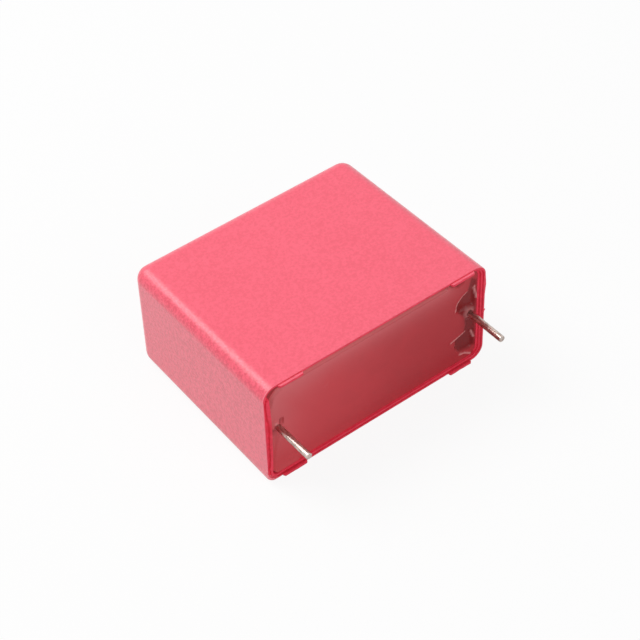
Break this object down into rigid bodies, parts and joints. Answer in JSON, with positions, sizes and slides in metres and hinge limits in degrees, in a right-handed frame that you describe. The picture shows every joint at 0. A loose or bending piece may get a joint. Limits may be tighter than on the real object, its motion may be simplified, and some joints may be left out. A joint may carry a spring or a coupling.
{
  "type": "box film capacitor",
  "caption": "Film capacitor in a moulded plastic box, potted with resin at its open mouth, with stiff wire leads at the ends of the mouth for soldering into a board.",
  "frame": {"origin": "midway between the two leads, on the plane that the feet seat on", "axes": "+X along the row of leads, +Y into the case towards its closed end (the leads point to -Y), +Z across the case's thickness; the part lies on a broad side"},
  "size_m": [0.0316, 0.0303, 0.0146],
  "materials": {
    "case_plastic": "fine spark-eroded grain, rose red, satin",
    "resin": "smooth cast resin, dark red, glossy",
    "film": "metallised plastic film, pressed flat",
    "wrap_film": "plain clear film, glossy",
    "sprayed_metal": "sprayed zinc, rough and grainy",
    "tinned_wire": "tinned copper wire, bright with fine draw lines"
  },
  "bodies": {
    "root": {"case": "case_plastic", "potting_resin": "resin", "wound_element": "film", "outer_wrap": "wrap_film", "left_end_contact": "sprayed_metal", "right_end_contact": "sprayed_metal", "left_lead": "tinned_wire", "right_lead": "tinned_wire"}
  },
  "joints": []
}
